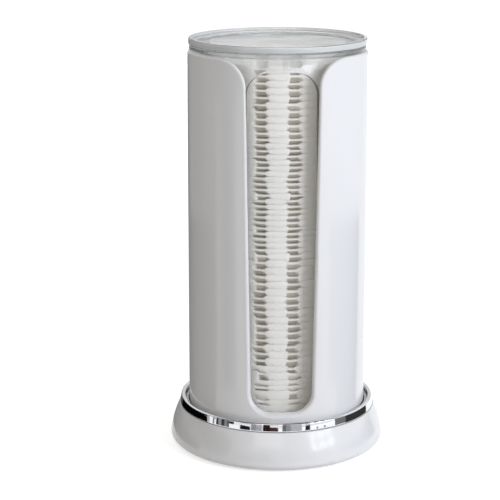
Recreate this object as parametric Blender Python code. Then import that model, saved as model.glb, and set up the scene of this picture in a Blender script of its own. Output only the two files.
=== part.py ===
# Round dispenser for cotton rounds: a white moulded tube with a tall slot in front, standing in a
# flared base with a bright trim ring. A clear sleeve full of pads hangs in the tube from its flange,
# and a clear dished lid closes it. The slot faces -Y, +Z is up, and the origin is the middle of
# the underside. Lengths are in metres.

import math

import bmesh
import bpy

MM = 0.001

# Running gap between pieces that touch on the real object
SEAT_GAP = 0.3 * MM

# Cotton rounds, with two channels pressed across each. They lie in three runs, of which
# the middle one is packed the tightest: a pitch is the height that one pad takes
PAD_RADIUS = 28.5 * MM
PAD_RIM_DRAW = 0.9 * MM
PAD_CHANNEL_SPACING = 13.3 * MM
PAD_CHANNEL_WIDTH = 5.6 * MM
PAD_PRESSED = 0.9 * MM
PAD_SIDE_STEPS = 3
LOW_RUN_PADS = 23
LOW_RUN_PITCH = 2.93 * MM
MIDDLE_RUN_PADS = 21
MIDDLE_RUN_PITCH = 2.24 * MM
TOP_RUN_PADS = 10
TOP_RUN_PITCH = 2.83 * MM

# Clear sleeve
SLEEVE_PLAY_ON_PADS = 1.7 * MM
SLEEVE_WALL = 1.8 * MM
SLEEVE_HEAD_ROOM = 3.3 * MM
SLEEVE_EDGE_ROUND = 0.4 * MM
WINDOW_HALF_WIDTH = 14.2 * MM
WINDOW_CORNER = 9.8 * MM
WINDOW_SILL = 0.9 * MM
WINDOW_HEAD = 5.3 * MM
FLANGE_INSET = 0.8 * MM

# White tube
SHELL_PLAY_ON_SLEEVE = 1.8 * MM
SHELL_WALL = 3.0 * MM
SHELL_DRAFT = 0.3 * MM
SHELL_EDGE_ROUND = 1.2 * MM
SLOT_HALF_WIDTH = 13.9 * MM
SLOT_SILL = 2.4 * MM
SLOT_BOTTOM_CORNER = 8.5 * MM
SLOT_TOP_FLARE = 11.0 * MM

# Flared base. The tube stands in its groove, and the sleeve's floor is just above its boss
BASE_RIM_CLEARANCE = 0.5 * MM
BASE_LAND_HEIGHT = 1.6 * MM
BASE_WALL = 2.4 * MM
BASE_SHOULDER_HEIGHT = 16.1 * MM
BASE_NECK_WALL = 1.2 * MM
BASE_NECK_RISE = 1.9 * MM
BASE_BOSS_HEIGHT = 18.0 * MM
BASE_SPREAD = 3.8 * MM
BASE_WIDEST_HEIGHT = 3.4 * MM
BASE_FOOT_TUCK = 4.0 * MM

# Bright trim ring round the neck of the base
RING_PLAY_ON_NECK = 0.3 * MM
RING_FOOT_WIDTH = 2.1 * MM
RING_LEAN = 0.4 * MM
RING_HEIGHT = 3.4 * MM
RING_LIP_ROUND = 0.9 * MM
RING_SET_BACK = 0.25 * MM

# Soft ring under the base
FOOT_RING_INSET = 0.6 * MM

# Clear lid
LID_OVERHANG = 0.3 * MM
LID_RIM_HEIGHT = 2.6 * MM
LID_RIM_WIDTH = 1.3 * MM
LID_EDGE_ROUND = 0.5 * MM
LID_DISH_SLOPE = 4.8 * MM
LID_DISH_DEPTH = 1.6 * MM
LID_PLATE = 1.5 * MM
PLUG_PLAY = 0.3 * MM
PLUG_WALL = 1.4 * MM
PLUG_DEPTH = 3.4 * MM

TURN_STEPS = 64
ARC_STEPS = 6
ROUND_STEPS = 3
BACK_STEPS = 24
SHARP_ANGLE = math.radians(35)
MOST_ROUND_SHARE = 0.45
MERGE_DISTANCE = 0.001 * MM

# Radii, worked outwards from the pads
sleeve_inner = PAD_RADIUS + SLEEVE_PLAY_ON_PADS
sleeve_outer = sleeve_inner + SLEEVE_WALL
shell_rim_inner = sleeve_outer + SHELL_PLAY_ON_SLEEVE
shell_rim_outer = shell_rim_inner + SHELL_WALL
shell_foot_outer = shell_rim_outer + SHELL_DRAFT
flange_radius = shell_rim_outer - FLANGE_INSET
lid_radius = flange_radius + LID_OVERHANG
boss_radius = shell_rim_inner - SEAT_GAP
groove_radius = shell_foot_outer + SEAT_GAP
neck_radius = groove_radius + BASE_NECK_WALL
ring_inner = neck_radius + RING_PLAY_ON_NECK
ring_outer = ring_inner + RING_FOOT_WIDTH
shoulder_radius = ring_outer + RING_SET_BACK
base_radius = shoulder_radius + BASE_SPREAD

# Heights, worked upwards from the floor
shell_foot = BASE_LAND_HEIGHT + BASE_WALL + SEAT_GAP
sleeve_floor = BASE_BOSS_HEIGHT + SEAT_GAP
pads_floor = sleeve_floor + SLEEVE_WALL + SEAT_GAP
pad_pitches = [LOW_RUN_PITCH] * LOW_RUN_PADS
pad_pitches += [MIDDLE_RUN_PITCH] * MIDDLE_RUN_PADS
pad_pitches += [TOP_RUN_PITCH] * TOP_RUN_PADS
pads_top = pads_floor + sum(pad_pitches)
flange_under = pads_top + SLEEVE_HEAD_ROOM
flange_top = flange_under + SLEEVE_WALL
shell_rim = flange_under - SEAT_GAP
ring_seat = BASE_SHOULDER_HEIGHT + SEAT_GAP
slot_sill = ring_seat + RING_HEIGHT + SLOT_SILL
window_sill = sleeve_floor + SLEEVE_WALL + WINDOW_SILL
window_head = flange_under - WINDOW_HEAD
lid_seat = flange_top + SEAT_GAP


def clear_scene():
    for thing in list(bpy.data.objects):
        bpy.data.objects.remove(thing, do_unlink=True)


def finish(name, colour, roughness, metallic=0.0, transmission=0.0, ior=1.5):
    material = bpy.data.materials.new(name)
    material.use_nodes = True
    shader = material.node_tree.nodes["Principled BSDF"]
    shader.inputs["Base Color"].default_value = (*colour, 1.0)
    shader.inputs["Roughness"].default_value = roughness
    shader.inputs["Metallic"].default_value = metallic
    shader.inputs["Transmission Weight"].default_value = transmission
    shader.inputs["IOR"].default_value = ior
    material.diffuse_color = (*colour, 1.0)
    return material


def carrier(name, parent=None):
    # An empty on the common axis, which carries the pieces that move together
    empty = bpy.data.objects.new(name, None)
    empty.parent = parent
    bpy.context.scene.collection.objects.link(empty)
    return empty


def place(name, mesh, material, parent, height):
    piece = bpy.data.objects.new(name, mesh)
    piece.location.z = height
    piece.parent = parent
    if not mesh.materials:
        mesh.materials.append(material)
    bpy.context.scene.collection.objects.link(piece)


def arc(centre_x, centre_z, radius_x, radius_z, start, end, steps=ARC_STEPS):
    # Points of an elliptical arc in a profile, with angles in degrees from +X towards +Z
    points = []
    for step in range(steps + 1):
        angle = math.radians(start + (end - start) * step / steps)
        points.append((centre_x + radius_x * math.cos(angle), centre_z + radius_z * math.sin(angle)))
    return points


def bezier(p0, p1, p2, p3, steps):
    points = []
    for step in range(1, steps):
        t = step / steps
        weights = ((1 - t) ** 3, 3 * t * (1 - t) ** 2, 3 * t**2 * (1 - t), t**3)
        points.append(tuple(sum(w * p[i] for w, p in zip(weights, (p0, p1, p2, p3))) for i in (0, 1)))
    return points


def closed_mesh(name, shape):
    bmesh.ops.remove_doubles(shape, verts=shape.verts, dist=MERGE_DISTANCE)
    bmesh.ops.recalc_face_normals(shape, faces=shape.faces)
    mesh = bpy.data.meshes.new(name)
    shape.to_mesh(mesh)
    shape.free()
    mesh.shade_smooth()
    mesh.set_sharp_from_angle(angle=SHARP_ANGLE)
    return mesh


def turned(name, profile, closed=False):
    # Spins a profile of (radius, height) points round Z. An open one starts and ends on the axis
    shape = bmesh.new()
    corners = [shape.verts.new((radius, 0.0, height)) for radius, height in profile]
    edges = [shape.edges.new(pair) for pair in zip(corners, corners[1:])]
    if closed:
        edges.append(shape.edges.new((corners[-1], corners[0])))
    bmesh.ops.spin(
        shape, geom=corners + edges, cent=(0, 0, 0), axis=(0, 0, 1), angle=2 * math.pi,
        steps=TURN_STEPS, use_merge=True,
    )
    return closed_mesh(name, shape)


def rounding(edge_round, wall):
    # Steps across the rounded edge of a wall, from its outer face to its inner one, as
    # (how far the opening has grown, depth in the wall)
    steps = []
    for step in range(ROUND_STEPS + 1):
        turn = math.pi / 2 * step / ROUND_STEPS
        steps.append((edge_round * (1 - math.sin(turn)), edge_round * (1 - math.cos(turn))))
    return steps + [(grow, wall - depth) for grow, depth in reversed(steps)]


def half_row(shape, front, back_x, back_z, radius_at, depth=0.0):
    # Corners on the right half of a round wall: at (x, z) points in front, whose x is the same at
    # any depth in the wall, and then level round to the middle of the back
    points = []
    for x, z in front:
        points.append((x, -math.sqrt((radius_at(z) - depth) ** 2 - x**2), z))
    radius = radius_at(back_z) - depth
    start = math.asin(back_x / radius)
    for step in range(1, BACK_STEPS + 1):
        turn = start + (math.pi - start) * step / BACK_STEPS
        points.append((radius * math.sin(turn), -radius * math.cos(turn), back_z))
    return [shape.verts.new(point) for point in points]


def band(shape, first_row, second_row):
    # Faces between two rows of corners. A closed row repeats its first corner at its end
    for index in range(len(first_row) - 1):
        near, far = first_row[index : index + 2], second_row[index : index + 2]
        shape.faces.new((near[0], near[1], far[1], far[0]))


def mirrored(name, shape):
    bmesh.ops.mirror(shape, geom=shape.verts[:] + shape.edges[:] + shape.faces[:], axis="X")
    return closed_mesh(name, shape)


def make_base(material, parent):
    land_inner = boss_radius - BASE_WALL
    land_outer = groove_radius + BASE_WALL
    neck_top = BASE_SHOULDER_HEIGHT + BASE_NECK_RISE
    groove_floor = BASE_LAND_HEIGHT + BASE_WALL
    drop = BASE_SHOULDER_HEIGHT - BASE_WIDEST_HEIGHT
    top = (shoulder_radius, BASE_SHOULDER_HEIGHT)
    widest = (base_radius, BASE_WIDEST_HEIGHT)
    lean_top = (shoulder_radius + BASE_SPREAD * 0.5, BASE_SHOULDER_HEIGHT - drop / 3)
    lean_low = (base_radius - BASE_SPREAD * 0.12, BASE_WIDEST_HEIGHT + drop / 3)
    foot_rise = BASE_WIDEST_HEIGHT - BASE_RIM_CLEARANCE
    channel_outer = base_radius - BASE_FOOT_TUCK
    profile = [
        (0.0, BASE_BOSS_HEIGHT),
        (boss_radius, BASE_BOSS_HEIGHT),
        (boss_radius, groove_floor),
        (groove_radius, groove_floor),
        (groove_radius, neck_top),
        (neck_radius, neck_top),
        (neck_radius, BASE_SHOULDER_HEIGHT),
        top,
        *bezier(top, lean_top, lean_low, widest, ARC_STEPS),
        *arc(base_radius - BASE_FOOT_TUCK, BASE_WIDEST_HEIGHT, BASE_FOOT_TUCK, foot_rise, 0, -90),
        (channel_outer - BASE_WALL / 2, BASE_RIM_CLEARANCE),
        (land_outer, BASE_LAND_HEIGHT),
        (land_inner, BASE_LAND_HEIGHT),
        (land_inner, BASE_BOSS_HEIGHT - BASE_WALL),
        (0.0, BASE_BOSS_HEIGHT - BASE_WALL),
    ]
    place("base", turned("base", profile), material, parent, 0.0)


def make_trim_ring(material, parent):
    lip = ring_outer - RING_LEAN
    profile = [
        (ring_outer, 0.0),
        (ring_inner, 0.0),
        (ring_inner, RING_HEIGHT - RING_LIP_ROUND / 3),
        *arc(lip - RING_LIP_ROUND, RING_HEIGHT - RING_LIP_ROUND, RING_LIP_ROUND, RING_LIP_ROUND, 90, 0),
    ]
    place("trim_ring", turned("trim_ring", profile, closed=True), material, parent, ring_seat)


def make_foot_ring(material, parent):
    inner = boss_radius - BASE_WALL + FOOT_RING_INSET
    outer = groove_radius + BASE_WALL - FOOT_RING_INSET
    top = BASE_LAND_HEIGHT - SEAT_GAP
    profile = [(outer, top), (outer, 0.0), (inner, 0.0), (inner, top)]
    place("foot_ring", turned("foot_ring", profile, closed=True), material, parent, 0.0)


def make_outer_shell(material, parent):
    flare_end = SLOT_HALF_WIDTH + SLOT_TOP_FLARE
    edge_round = min(SHELL_EDGE_ROUND, MOST_ROUND_SHARE * SHELL_WALL)

    def radius_at(height):
        return shell_foot_outer - SHELL_DRAFT * (height - shell_foot) / (shell_rim - shell_foot)

    def slot_edge(grow):
        # From the middle of the sill round the corner, up the side and out along the flare
        corner = SLOT_BOTTOM_CORNER + grow
        flare = SLOT_TOP_FLARE - grow
        corner_x = SLOT_HALF_WIDTH - SLOT_BOTTOM_CORNER
        edge = [(0.0, slot_sill - grow)]
        edge += arc(corner_x, slot_sill + SLOT_BOTTOM_CORNER, corner, corner, -90, 0)
        edge += arc(flare_end, shell_rim - SLOT_TOP_FLARE, flare, flare, 180, 90)
        return edge

    def add_skin(edge, depth):
        # Closes one face of the wall from the edge down to the foot. The ends of the slot's side
        # stand on one column, so the foot has one corner for the two
        side = ARC_STEPS + 1
        below = [(x, shell_foot) for x, z in slot_edge(edge_round)]
        foot = half_row(shape, below[:side] + below[side + 1 :], flare_end, shell_foot, radius_at, depth)
        band(shape, edge[: side + 1], foot[: side + 1])
        shape.faces.new((foot[side], foot[side + 1], edge[side + 2], edge[side + 1], edge[side]))
        band(shape, edge[side + 2 :], foot[side + 1 :])
        return foot

    shape = bmesh.new()
    rows = []
    for grow, depth in rounding(edge_round, SHELL_WALL):
        rows.append(half_row(shape, slot_edge(grow), flare_end, shell_rim - grow, radius_at, depth))
    for outer_row, inner_row in zip(rows, rows[1:]):
        band(shape, outer_row, inner_row)
    band(shape, add_skin(rows[0], 0.0), add_skin(rows[-1], SHELL_WALL))
    place("outer_shell", mirrored("outer_shell", shape), material, parent, 0.0)


def make_inner_sleeve(material, parent):
    edge_round = min(SLEEVE_EDGE_ROUND, MOST_ROUND_SHARE * SLEEVE_WALL)

    def window_edge(grow):
        # From the middle of the sill up the side to the middle of the head
        corner = WINDOW_CORNER + grow
        corner_x = WINDOW_HALF_WIDTH - WINDOW_CORNER
        edge = [(0.0, window_sill - grow)]
        edge += arc(corner_x, window_sill + WINDOW_CORNER, corner, corner, -90, 0)
        edge += arc(corner_x, window_head - WINDOW_CORNER, corner, corner, 0, 90)
        return edge + [(0.0, window_head + grow)]

    columns = [x for x, z in window_edge(edge_round)[: ARC_STEPS + 2]]

    def ring(radius, height):
        return half_row(shape, [(x, height) for x in columns], columns[-1], height, lambda z: radius)

    def add_skin(low, high, window):
        # Closes one face of the wall between two rings and round the window
        side = len(columns) - 1
        above = window[::-1]
        band(shape, low[: side + 1], window[: side + 1])
        band(shape, above[: side + 1], high[: side + 1])
        shape.faces.new((low[side], low[side + 1], high[side + 1], high[side], above[side], window[side]))
        band(shape, low[side + 1 :], high[side + 1 :])

    shape = bmesh.new()
    windows = []
    for grow, depth in rounding(edge_round, SLEEVE_WALL):
        points = [(x, -math.sqrt((sleeve_outer - depth) ** 2 - x**2), z) for x, z in window_edge(grow)]
        windows.append([shape.verts.new(point) for point in points])
    for outer_row, inner_row in zip(windows, windows[1:]):
        band(shape, outer_row, inner_row)
    floor = [ring(sleeve_outer - edge_round, sleeve_floor), ring(sleeve_outer, sleeve_floor + edge_round)]
    flange = [
        ring(sleeve_outer, flange_under),
        ring(flange_radius - edge_round, flange_under),
        ring(flange_radius, flange_under + edge_round),
        ring(flange_radius, flange_top - edge_round),
        ring(flange_radius - edge_round, flange_top),
        ring(sleeve_inner + edge_round, flange_top),
        ring(sleeve_inner, flange_top - edge_round),
    ]
    bore_floor = ring(sleeve_inner, sleeve_floor + SLEEVE_WALL)
    for rings in floor, flange:
        for first, second in zip(rings, rings[1:]):
            band(shape, first, second)
    add_skin(floor[-1], flange[0], windows[0])
    add_skin(bore_floor, flange[-1], windows[-1])
    shape.faces.new(floor[0])
    shape.faces.new(bore_floor)
    place("inner_sleeve", mirrored("inner_sleeve", shape), material, parent, 0.0)


def make_lid(material, parent):
    rim_inner = lid_radius - LID_RIM_WIDTH
    dish_radius = rim_inner - LID_DISH_SLOPE
    dish_floor = LID_RIM_HEIGHT - LID_DISH_DEPTH
    plug_outer = sleeve_inner - PLUG_PLAY
    plug_inner = plug_outer - PLUG_WALL
    shoulder = lid_radius - LID_EDGE_ROUND
    profile = [
        (0.0, dish_floor),
        (dish_radius, dish_floor),
        (rim_inner, LID_RIM_HEIGHT),
        *arc(shoulder, LID_RIM_HEIGHT - LID_EDGE_ROUND, LID_EDGE_ROUND, LID_EDGE_ROUND, 90, 0, 3),
        (lid_radius, LID_EDGE_ROUND / 2),
        (lid_radius - LID_EDGE_ROUND / 2, 0.0),
        (plug_outer, 0.0),
        (plug_outer, -PLUG_DEPTH),
        (plug_inner, -PLUG_DEPTH),
        (plug_inner, dish_floor - LID_PLATE),
        (0.0, dish_floor - LID_PLATE),
    ]
    place("lid", turned("lid", profile), material, parent, lid_seat)


def pad_outline(radius):
    # Corners of a round outline behind the middle plane, left to right, as (x, y). Two lie on the
    # sides of each channel, at the same x for any radius
    inner_side = (PAD_CHANNEL_SPACING - PAD_CHANNEL_WIDTH) / 2
    outer_side = (PAD_CHANNEL_SPACING + PAD_CHANNEL_WIDTH) / 2
    turn = math.asin(outer_side / radius)
    right = [(inner_side, math.sqrt(radius**2 - inner_side**2))]
    for step in range(PAD_SIDE_STEPS + 1):
        angle = turn + (math.pi / 2 - turn) * step / PAD_SIDE_STEPS
        right.append((radius * math.sin(angle), radius * math.cos(angle)))
    return [(-x, y) for x, y in reversed(right)] + right


def pad_mesh(pitch):
    face_height = (pitch - SEAT_GAP) / 2
    rim_height = PAD_PRESSED / 2
    rim = pad_outline(PAD_RADIUS)
    face = pad_outline(PAD_RADIUS - PAD_RIM_DRAW)
    shape = bmesh.new()
    sections = []
    for (rim_x, rim_y), (face_x, face_y) in zip(rim, face):
        # Up the front of the rim and over the face, then the same turned upside down
        half = [
            (rim_x, -rim_y, -rim_height),
            (rim_x, -rim_y, rim_height),
            (face_x, -face_y, face_height),
            (face_x, face_y, face_height),
        ]
        sections.append([shape.verts.new(point) for point in half + [(x, -y, -z) for x, y, z in half]])
    middle = len(sections) // 2
    channels = (middle - 2, middle)
    for index, (left, right) in enumerate(zip(sections, sections[1:])):
        if index in channels:
            for section in left, right:
                shape.faces.new(section[1:5])
                shape.faces.new(section[5:] + section[:1])
            left = left[:2] + left[4:6]
            right = right[:2] + right[4:6]
        band(shape, left + left[:1], right + right[:1])
    return closed_mesh("cotton_pad", shape)


def make_pads(material, parent):
    meshes = {pitch: pad_mesh(pitch) for pitch in set(pad_pitches)}
    floor = pads_floor
    for number, pitch in enumerate(pad_pitches, 1):
        middle = floor + (pitch - SEAT_GAP) / 2
        place(f"cotton_pad_{number:02d}", meshes[pitch], material, parent, middle)
        floor += pitch


def main():
    clear_scene()
    white_abs = finish("moulded white ABS", (0.83, 0.83, 0.84), 0.16)
    chromed_abs = finish("chrome-plated ABS", (0.78, 0.79, 0.80), 0.06, metallic=1.0)
    clear_styrene = finish("clear polystyrene", (0.96, 0.97, 0.97), 0.04, transmission=1.0, ior=1.59)
    foam = finish("soft foam", (0.72, 0.72, 0.70), 0.9)
    cotton = finish("pressed cotton", (0.84, 0.83, 0.80), 0.95)

    stand = carrier("stand")
    make_base(white_abs, stand)
    make_trim_ring(chromed_abs, stand)
    make_foot_ring(foam, stand)
    make_outer_shell(white_abs, stand)
    sleeve_lift = carrier("sleeve_lift", stand)
    make_pads(cotton, sleeve_lift)
    sleeve_turn = carrier("sleeve_turn", sleeve_lift)
    make_inner_sleeve(clear_styrene, sleeve_turn)
    lid_lift = carrier("lid_lift", sleeve_turn)
    make_lid(clear_styrene, lid_lift)


main()
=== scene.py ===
import math

import bmesh
import bpy
import numpy as np
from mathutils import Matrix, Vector


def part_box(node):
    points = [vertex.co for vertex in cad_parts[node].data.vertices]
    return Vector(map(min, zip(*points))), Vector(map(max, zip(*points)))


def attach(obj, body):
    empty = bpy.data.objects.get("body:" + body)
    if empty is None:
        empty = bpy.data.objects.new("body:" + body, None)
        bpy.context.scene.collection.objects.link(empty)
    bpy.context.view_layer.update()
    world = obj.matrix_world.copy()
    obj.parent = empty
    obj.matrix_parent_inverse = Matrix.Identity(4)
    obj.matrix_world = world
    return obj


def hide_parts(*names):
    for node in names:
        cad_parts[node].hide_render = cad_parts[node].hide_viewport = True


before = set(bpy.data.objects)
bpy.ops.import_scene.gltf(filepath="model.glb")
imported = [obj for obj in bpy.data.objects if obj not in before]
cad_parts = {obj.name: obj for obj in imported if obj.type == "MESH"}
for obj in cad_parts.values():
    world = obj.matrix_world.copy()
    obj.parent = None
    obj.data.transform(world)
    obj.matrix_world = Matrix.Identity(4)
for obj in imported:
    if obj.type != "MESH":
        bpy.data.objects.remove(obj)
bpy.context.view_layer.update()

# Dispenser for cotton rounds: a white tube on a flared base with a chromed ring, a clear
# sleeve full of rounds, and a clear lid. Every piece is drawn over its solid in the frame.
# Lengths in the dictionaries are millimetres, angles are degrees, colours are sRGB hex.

mm = 0.001
scene = bpy.context.scene
turnSteps = 192
sharpAngle = math.radians(38)
weldDistance = 0.0005  # millimetres
filletShare = 0.48  # the most of a side that a fillet may take


def toLinear(hexColour):  # sRGB hex to the linear colour that Blender works in
    channels = [int(hexColour[i : i + 2], 16) / 255 for i in (0, 2, 4)]
    return (*(c / 12.92 if c <= 0.04045 else ((c + 0.055) / 1.055) ** 2.4 for c in channels), 1.0)


def addNode(tree, kind, settings=None, links=None):  # a node, its settings and what feeds it
    node = tree.nodes.new(kind)
    for name, value in (settings or {}).items():
        if isinstance(name, int) or name in node.inputs:
            node.inputs[name].default_value = value
        else:
            setattr(node, name, value)
    for name, socket in (links or {}).items():
        tree.links.new(socket, node.inputs[name])
    return node


def newMaterial(name):
    material = bpy.data.materials.new(name)
    material.use_nodes = True
    material.node_tree.nodes.clear()
    return material, material.node_tree, addNode(material.node_tree, "ShaderNodeOutputMaterial")


def around(azimuth, distance, height):  # azimuth from the front (-Y) towards +X
    turn = math.radians(azimuth)
    return Vector((distance * math.sin(turn), -distance * math.cos(turn), height)) * mm


def aimAt(thing, target):
    thing.rotation_euler = (target - thing.location).to_track_quat("-Z", "Y").to_euler()


# The photograph's view
cameraLook = {
    "azimuth": -3.5, "distance": 658.69, "height": 247.4, "heading": 2.5184, "pitch": 14.0948,
    "lens": 116.878, "clipStart": 50,
}
camera = bpy.data.objects.new("camera", bpy.data.cameras.new("camera"))
scene.collection.objects.link(camera)
camera.location = around(cameraLook["azimuth"], cameraLook["distance"], cameraLook["height"])
heading, pitch = math.radians(cameraLook["heading"]), math.radians(cameraLook["pitch"])
ahead = Vector((math.cos(pitch) * math.sin(heading), math.cos(pitch) * math.cos(heading), -math.sin(pitch)))
camera.rotation_euler = ahead.to_track_quat("-Z", "Y").to_euler()
camera.data.lens = cameraLook["lens"]
camera.data.clip_start = cameraLook["clipStart"] * mm
scene.camera = camera
print("camera placed")


# Finishes
def makeAbs(look):
    # Injection-moulded ABS from a polished tool: an even cool white with a wet gloss, which a
    # faint orange peel breaks up
    material, tree, output = newMaterial("glossy moulded ABS")
    where = addNode(tree, "ShaderNodeTexCoord").outputs["Object"]
    peel = addNode(
        tree, "ShaderNodeTexNoise", {"Scale": 1 / (look["peelSize"] * mm), "Detail": 2.0},
        {"Vector": where},
    )
    flow = addNode(
        tree, "ShaderNodeTexNoise", {"Scale": 1 / (look["flowSize"] * mm), "Detail": 1.0},
        {"Vector": where},
    )
    bump = addNode(
        tree, "ShaderNodeBump", {"Strength": look["peelStrength"], "Distance": look["peelDepth"] * mm},
        {"Height": peel.outputs["Fac"]},
    )
    gloss = addNode(
        tree, "ShaderNodeMapRange", {"To Min": look["glossiest"], "To Max": look["dullest"]},
        {"Value": flow.outputs["Fac"]},
    )
    shader = addNode(
        tree,
        "ShaderNodeBsdfPrincipled",
        {"Base Color": toLinear(look["colour"]), "IOR": look["ior"]},
        {"Roughness": gloss.outputs["Result"], "Normal": bump.outputs["Normal"]},
    )
    tree.links.new(shader.outputs["BSDF"], output.inputs["Surface"])
    return material


absLook = {
    "colour": "e3e3e4", "ior": 1.53, "glossiest": 0.1, "dullest": 0.17,
    "peelSize": 2.4, "peelDepth": 0.02, "peelStrength": 0.06, "flowSize": 22,
}
whiteAbs = makeAbs(absLook)


def makeChrome(look):
    # Chrome plate on ABS: a hard bluish mirror. The plastic below gives it a slow ripple
    material, tree, output = newMaterial("chrome plate on ABS")
    where = addNode(tree, "ShaderNodeTexCoord").outputs["Object"]
    ripple = addNode(
        tree, "ShaderNodeTexNoise", {"Scale": 1 / (look["rippleSize"] * mm), "Detail": 2.0},
        {"Vector": where},
    )
    bump = addNode(
        tree, "ShaderNodeBump", {"Strength": look["rippleStrength"], "Distance": look["rippleDepth"] * mm},
        {"Height": ripple.outputs["Fac"]},
    )
    haze = addNode(
        tree, "ShaderNodeMapRange", {"To Min": look["glossiest"], "To Max": look["dullest"]},
        {"Value": ripple.outputs["Fac"]},
    )
    shader = addNode(
        tree,
        "ShaderNodeBsdfPrincipled",
        {"Base Color": toLinear(look["colour"]), "Metallic": 1.0},
        {"Roughness": haze.outputs["Result"], "Normal": bump.outputs["Normal"]},
    )
    tree.links.new(shader.outputs["BSDF"], output.inputs["Surface"])
    return material


chromeLook = {
    "colour": "e2e4e8", "glossiest": 0.03, "dullest": 0.08,
    "rippleSize": 5.0, "rippleDepth": 0.12, "rippleStrength": 0.25,
}
chromePlate = makeChrome(chromeLook)


def makeStyrene(name, look, satin=None):
    # Clear polystyrene, moulded: bright edges, a slow wave in its faces and a trace of haze.
    # Light passes it on its way to what is inside. Faces marked satin are left so from the
    # tool: they glow with the light that falls on them and hide what is behind
    material, tree, output = newMaterial(name)
    where = addNode(tree, "ShaderNodeTexCoord").outputs["Object"]
    wave = addNode(
        tree, "ShaderNodeTexNoise", {"Scale": 1 / (look["waveSize"] * mm), "Detail": 1.5},
        {"Vector": where},
    )
    bump = addNode(
        tree, "ShaderNodeBump", {"Strength": look["waveStrength"], "Distance": look["waveDepth"] * mm},
        {"Height": wave.outputs["Fac"]},
    )
    haze = addNode(
        tree, "ShaderNodeMapRange", {"To Min": look["glossiest"], "To Max": look["dullest"]},
        {"Value": wave.outputs["Fac"]},
    )
    shader = addNode(
        tree,
        "ShaderNodeBsdfPrincipled",
        {"Base Color": toLinear(look["colour"]), "IOR": look["ior"], "Transmission Weight": look["clear"]},
        {"Roughness": haze.outputs["Result"], "Normal": bump.outputs["Normal"]},
    )
    seen = shader.outputs["BSDF"]
    if satin:
        blur = addNode(
            tree, "ShaderNodeMapRange", {"To Min": satin["glossiest"], "To Max": satin["dullest"]},
            {"Value": wave.outputs["Fac"]},
        )
        side = addNode(
            tree,
            "ShaderNodeBsdfPrincipled",
            {
                "Base Color": toLinear(satin["colour"]), "IOR": look["ior"],
                "Transmission Weight": satin["clear"],
            },
            {"Roughness": blur.outputs["Result"]},
        )
        marked = addNode(tree, "ShaderNodeAttribute", {"attribute_name": "satin"})
        seen = addNode(
            tree, "ShaderNodeMixShader", None,
            {0: marked.outputs["Fac"], 1: seen, 2: side.outputs["BSDF"]},
        ).outputs[0]
    passing = addNode(tree, "ShaderNodeBsdfTransparent", {"Color": toLinear(look["shadowColour"])})
    ray = addNode(tree, "ShaderNodeLightPath")
    lighting = addNode(
        tree, "ShaderNodeMath", {"operation": "MAXIMUM"},
        {0: ray.outputs["Is Shadow Ray"], 1: ray.outputs["Is Diffuse Ray"]},
    )
    mix = addNode(
        tree, "ShaderNodeMixShader", None, {0: lighting.outputs[0], 1: seen, 2: passing.outputs["BSDF"]},
    )
    depth = addNode(
        tree, "ShaderNodeVolumeAbsorption",
        {"Color": toLinear(look["edgeColour"]), "Density": look["density"]},
    )
    tree.links.new(mix.outputs["Shader"], output.inputs["Surface"])
    tree.links.new(depth.outputs["Volume"], output.inputs["Volume"])
    return material


styreneLook = {
    "colour": "fdfefe", "shadowColour": "ffffff", "ior": 1.59, "clear": 1.0,
    "glossiest": 0.01, "dullest": 0.04, "waveSize": 14, "waveDepth": 0.12, "waveStrength": 0.3,
    "edgeColour": "b6bbba", "density": 36.0,
}
satinLook = {"colour": "e2e5e6", "clear": 0.25, "glossiest": 0.1, "dullest": 0.18}
clearStyrene = makeStyrene("clear moulded polystyrene", styreneLook, satinLook)
# The sleeve's wall is a little milky, so that the rounds look fainter through it
milkyLook = {**styreneLook, "colour": "fafbfb", "clear": 0.93}
milkyStyrene = makeStyrene("milky moulded polystyrene", milkyLook)


def makeCotton(look):
    # Pressed cotton fleece: matt and warm white, with a fine fuzz that keeps its shadows soft.
    # In the pressed channels the colour is mixed towards a darker beige: painted shade in their
    # hollows, with a little of the denser cotton's creamier tone
    material, tree, output = newMaterial("pressed cotton fleece")
    where = addNode(tree, "ShaderNodeTexCoord").outputs["Object"]
    fibre = addNode(
        tree, "ShaderNodeTexNoise",
        {"Scale": 1 / (look["fibreSize"] * mm), "Detail": 4.0, "Roughness": 0.7}, {"Vector": where},
    )
    cloud = addNode(
        tree, "ShaderNodeTexNoise", {"Scale": 1 / (look["cloudSize"] * mm), "Detail": 2.0},
        {"Vector": where},
    )
    tint = addNode(
        tree,
        "ShaderNodeMix",
        {"data_type": "RGBA", 6: toLinear(look["colour"]), 7: toLinear(look["thinColour"])},
        {0: cloud.outputs["Fac"]},
    )
    # Painted shade: the hollows of the pressed channels are mixed towards the darker pressed colour
    pressed = addNode(tree, "ShaderNodeAttribute", {"attribute_name": "pressed"})
    channelShade = addNode(
        tree, "ShaderNodeMix", {"data_type": "RGBA", 7: toLinear(look["pressedShadeColour"])},
        {0: pressed.outputs["Fac"], 6: tint.outputs[2]},
    )
    bump = addNode(
        tree, "ShaderNodeBump", {"Strength": look["fibreStrength"], "Distance": look["fibreDepth"] * mm},
        {"Height": fibre.outputs["Fac"]},
    )
    shader = addNode(
        tree,
        "ShaderNodeBsdfPrincipled",
        {
            "Roughness": 1.0, "IOR": 1.45, "Specular IOR Level": 0.15,
            "Sheen Weight": look["fuzz"], "Sheen Roughness": 0.5,
            "Subsurface Weight": look["glow"], "Subsurface Radius": (1.0, 0.9, 0.8),
            "Subsurface Scale": look["glowDepth"] * mm,
        },
        {"Base Color": channelShade.outputs[2], "Normal": bump.outputs["Normal"]},
    )
    tree.links.new(shader.outputs["BSDF"], output.inputs["Surface"])
    return material


# The pressed colour is painted shade for the hollows of the pressed channels
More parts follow.
